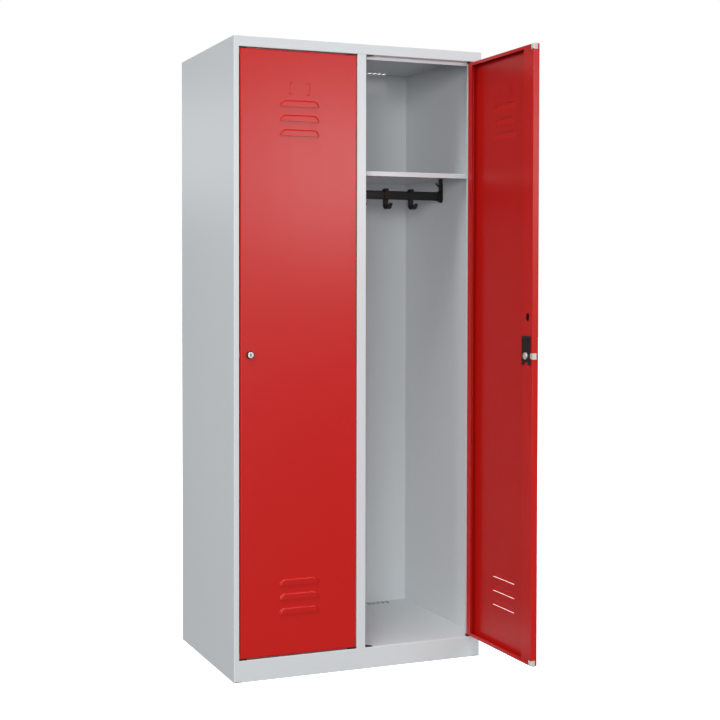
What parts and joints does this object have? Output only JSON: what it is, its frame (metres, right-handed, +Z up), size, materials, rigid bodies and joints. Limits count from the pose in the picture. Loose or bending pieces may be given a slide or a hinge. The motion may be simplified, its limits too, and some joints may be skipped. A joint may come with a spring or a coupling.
{
  "type": "clothing locker",
  "caption": "Tall steel clothing locker with side-by-side compartments, louvred doors on pivot pins with turning locks, hat shelves and coat rails with sliding hooks.",
  "frame": {"origin": "middle of the base, on the surface the locker stands on", "axes": "+Z up, -Y towards the front with the doors, +X to the right seen from the front"},
  "size_m": [0.8, 0.8545, 1.85],
  "materials": {
    "cabinet_paint": "satin light grey powder coat",
    "door_paint": "satin red powder coat",
    "black_plastic": "moulded black",
    "white_plastic": "moulded white",
    "lock_metal": "bright zinc die casting",
    "pin_steel": "drawn steel"
  },
  "bodies": {
    "cabinet": {"left_side_wall": "cabinet_paint", "right_side_wall": "cabinet_paint", "centre_partition": "cabinet_paint", "centre_post": "cabinet_paint", "back_panel": "cabinet_paint", "roof_panel": "cabinet_paint", "base_tray": "cabinet_paint", "left_hat_shelf": "cabinet_paint", "left_coat_rail": "black_plastic", "left_outer_rail_bracket": "black_plastic", "left_inner_rail_bracket": "black_plastic", "left_upper_hinge_bush": "black_plastic", "left_lower_hinge_bush": "black_plastic", "left_upper_guide_pad": "black_plastic", "left_lower_guide_pad": "black_plastic", "right_hat_shelf": "cabinet_paint", "right_coat_rail": "black_plastic", "right_outer_rail_bracket": "black_plastic", "right_inner_rail_bracket": "black_plastic", "right_upper_hinge_bush": "black_plastic", "right_lower_hinge_bush": "black_plastic", "right_upper_guide_pad": "black_plastic", "right_lower_guide_pad": "black_plastic"},
    "left_door": {"left_door_panel": "door_paint", "left_upper_corner_cap": "white_plastic", "left_lower_corner_cap": "white_plastic", "left_upper_hinge_pin": "pin_steel", "left_lower_hinge_pin": "pin_steel", "left_lock_rosette": "black_plastic", "left_lock_barrel": "lock_metal", "left_lock_case": "black_plastic"},
    "left_lock": {"left_lock_cylinder": "lock_metal", "left_lock_hub": "lock_metal"},
    "left_bolt": {"left_lock_bolt": "lock_metal"},
    "left_hook_1": {"left_coat_hook_1": "black_plastic"},
    "left_hook_2": {"left_coat_hook_2": "black_plastic"},
    "left_hook_3": {"left_coat_hook_3": "black_plastic"},
    "right_door": {"right_door_panel": "door_paint", "right_upper_corner_cap": "white_plastic", "right_lower_corner_cap": "white_plastic", "right_upper_hinge_pin": "pin_steel", "right_lower_hinge_pin": "pin_steel", "right_lock_rosette": "black_plastic", "right_lock_barrel": "lock_metal", "right_lock_case": "black_plastic"},
    "right_lock": {"right_lock_cylinder": "lock_metal", "right_lock_hub": "lock_metal"},
    "right_bolt": {"right_lock_bolt": "lock_metal"},
    "right_hook_1": {"right_coat_hook_1": "black_plastic"},
    "right_hook_2": {"right_coat_hook_2": "black_plastic"},
    "right_hook_3": {"right_coat_hook_3": "black_plastic"}
  },
  "joints": [
    {"name": "left_door_hinge", "type": "hinge", "parent": "cabinet", "child": "left_door", "pos_m": [-0.0225, -0.244, 0], "axis": [0, 0, 1], "range_deg": [0, 105]},
    {"name": "right_door_hinge", "type": "hinge", "parent": "cabinet", "child": "right_door", "pos_m": [0.376, -0.244, 0], "axis": [0, 0, 1], "range_deg": [-90, 15]},
    {"name": "left_lock_turn", "type": "hinge", "parent": "left_door", "child": "left_lock", "pos_m": [-0.3515, -0.25, 0.9415], "axis": [0, -1, 0], "range_deg": [0, 90]},
    {"name": "right_lock_turn", "type": "hinge", "parent": "right_door", "child": "right_lock", "pos_m": [0.382, -0.573, 0.9415], "axis": [1, 0, 0], "range_deg": [0, 90]},
    {"name": "left_bolt_slide", "type": "slide", "parent": "left_door", "child": "left_bolt", "axis": [-1, 0, 0], "range_m": [0, 0.008]},
    {"name": "right_bolt_slide", "type": "slide", "parent": "right_door", "child": "right_bolt", "axis": [0, -1, 0], "range_m": [0, 0.008]},
    {"name": "left_hook_1_slide", "type": "slide", "parent": "cabinet", "child": "left_hook_1", "axis": [1, 0, 0], "range_m": [-0.085, 0.035]},
    {"name": "left_hook_2_slide", "type": "slide", "parent": "cabinet", "child": "left_hook_2", "axis": [1, 0, 0], "range_m": [-0.035, 0.035]},
    {"name": "left_hook_3_slide", "type": "slide", "parent": "cabinet", "child": "left_hook_3", "axis": [1, 0, 0], "range_m": [-0.035, 0.085]},
    {"name": "right_hook_1_slide", "type": "slide", "parent": "cabinet", "child": "right_hook_1", "axis": [1, 0, 0], "range_m": [-0.085, 0.035]},
    {"name": "right_hook_2_slide", "type": "slide", "parent": "cabinet", "child": "right_hook_2", "axis": [1, 0, 0], "range_m": [-0.035, 0.035]},
    {"name": "right_hook_3_slide", "type": "slide", "parent": "cabinet", "child": "right_hook_3", "axis": [1, 0, 0], "range_m": [-0.035, 0.085]}
  ],
  "couplings": [
    {"joint": "left_lock_turn", "follows": "left_bolt_slide", "rad_per_m": 196.3},
    {"joint": "right_lock_turn", "follows": "right_bolt_slide", "rad_per_m": 196.3}
  ]
}
